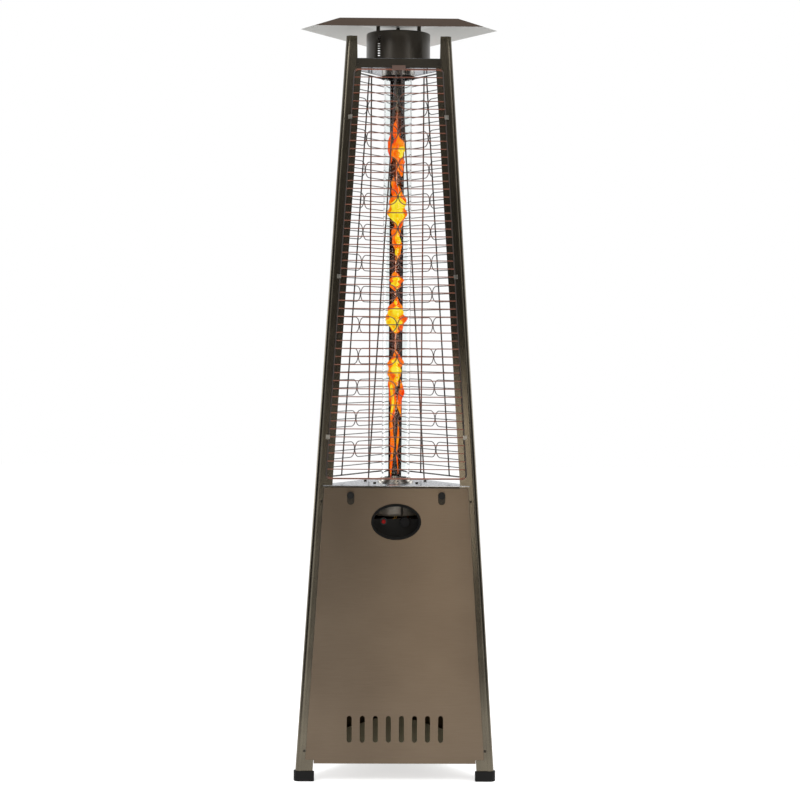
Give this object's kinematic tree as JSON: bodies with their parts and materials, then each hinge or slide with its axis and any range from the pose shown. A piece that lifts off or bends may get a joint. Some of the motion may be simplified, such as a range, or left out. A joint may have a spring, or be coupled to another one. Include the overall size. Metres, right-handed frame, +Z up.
{
  "type": "outdoor glass tube gas heater",
  "caption": "Free-standing three-sided tapering patio heater: flame in a glass tube behind wire guards, reflector on top, gas base with a tipping front panel.",
  "frame": {"origin": "on the floor, at the middle of the object's box in X and Y; the burner axis stands 75.9 mm in front of it", "axes": "+X to the right seen from the front, +Y to the rear (the panel with the window faces -Y), +Z up"},
  "size_m": [0.6194, 0.5578, 2.3525],
  "materials": {
    "leg_paint": "satin bronze-brown powder coat",
    "rail_paint": "dark bronze-brown powder coat",
    "foot_plastic": "moulded, matte",
    "base_paint": "matte bronze-brown powder coat",
    "deck_steel": "brushed",
    "panel_steel": "brushed, bronze tint",
    "reflector_steel": "bronze-tinted top, bright underside",
    "drum_paint": "matte heat-proof",
    "tube_glass": "clear borosilicate",
    "ring_steel": "turned",
    "guard_wire": "bronze-brown wire",
    "clip_steel": "plain zinc",
    "plate_bronze": "bronze-brown, bare of marks",
    "fastener_steel": "zinc",
    "bowl_steel": "galvanised",
    "burner_iron": "as cast",
    "fitting_brass": "turned",
    "valve_alloy": "die cast",
    "pipe_alloy": "drawn",
    "probe_copper": "copper-coated",
    "electrode_ceramic": "glazed",
    "fascia_paint": "satin black",
    "knob_plastic": "satin",
    "button_plastic": "gloss",
    "igniter_plastic": "moulded",
    "bezel_plastic": "moulded",
    "catch_plastic": "moulded",
    "gasket_rubber": "moulded, matte"
  },
  "bodies": {
    "frame": {"leg_front_left": "leg_paint", "leg_front_right": "leg_paint", "leg_rear": "leg_paint", "foot_front_left": "foot_plastic", "foot_front_right": "foot_plastic", "foot_rear": "foot_plastic", "base_plate": "base_paint", "burner_deck": "deck_steel", "deck_skirts": "base_paint", "side_panel_left": "panel_steel", "side_panel_right": "panel_steel", "hinge_brackets": "base_paint", "hinge_pins": "fastener_steel", "catch_nuts": "fastener_steel", "base_bolts": "fastener_steel", "deck_bolts": "fastener_steel", "tube_seat": "ring_steel", "glass_tube": "tube_glass", "top_collar": "ring_steel", "top_gasket": "gasket_rubber", "top_rail_front": "rail_paint", "top_rail_left": "rail_paint", "top_rail_right": "rail_paint", "rail_screws": "fastener_steel", "rail_plate": "plate_bronze", "top_plate": "deck_steel", "top_shield": "deck_steel", "exhaust_drum": "drum_paint", "reflector_standoffs": "fastener_steel", "reflector": "reflector_steel", "reflector_bolts": "fastener_steel", "guard_front": "guard_wire", "guard_left": "guard_wire", "guard_right": "guard_wire", "guard_clips": "clip_steel", "burner_bowl": "bowl_steel", "bowl_screws": "fastener_steel", "gas_injector": "fitting_brass", "mixer_tube": "bowl_steel", "burner_head": "burner_iron", "control_fascia": "fascia_paint", "gas_valve": "valve_alloy", "igniter_body": "igniter_plastic", "gas_inlet": "fitting_brass", "gas_pipe": "pipe_alloy", "tilt_switch": "igniter_plastic", "pilot_bracket": "bowl_steel", "pilot_burner": "fitting_brass", "spark_electrode": "electrode_ceramic", "pilot_tube": "fastener_steel", "flame_probe": "probe_copper"},
    "front_panel": {"front_panel": "panel_steel", "window_bezel": "bezel_plastic", "catch_plates": "fastener_steel"},
    "catch_left": {"catch_left": "catch_plastic"},
    "catch_right": {"catch_right": "catch_plastic"},
    "valve_spindle": {"valve_spindle": "fastener_steel"},
    "control_knob": {"control_knob": "knob_plastic"},
    "igniter_button": {"igniter_button": "button_plastic"}
  },
  "joints": [
    {"name": "panel_tip", "type": "hinge", "parent": "frame", "child": "front_panel", "pos_m": [0, -0.25736, 0.062], "axis": [1, 0, 0], "range_deg": [0, 80]},
    {"name": "catch_left_turn", "type": "hinge", "parent": "front_panel", "child": "catch_left", "pos_m": [-0.14, -0.22503, 0.874], "axis": [0, -0.9993, 0.0361], "continuous": true},
    {"name": "catch_right_turn", "type": "hinge", "parent": "front_panel", "child": "catch_right", "pos_m": [0.14, -0.22503, 0.874], "axis": [0, -0.9993, 0.0361], "continuous": true},
    {"name": "spindle_push", "type": "slide", "parent": "frame", "child": "valve_spindle", "axis": [0, 1, 0], "range_m": [0, 0.004], "stiffness_N_per_m": 500, "springref_m": -0.002},
    {"name": "knob_turn", "type": "hinge", "parent": "valve_spindle", "child": "control_knob", "pos_m": [0.028, -0.18806, 0.79], "axis": [0, 1, 0], "range_deg": [-210, 0]},
    {"name": "button_press", "type": "slide", "parent": "frame", "child": "igniter_button", "axis": [0, 1, 0], "range_m": [0, 0.005], "stiffness_N_per_m": 600, "springref_m": -0.003}
  ]
}
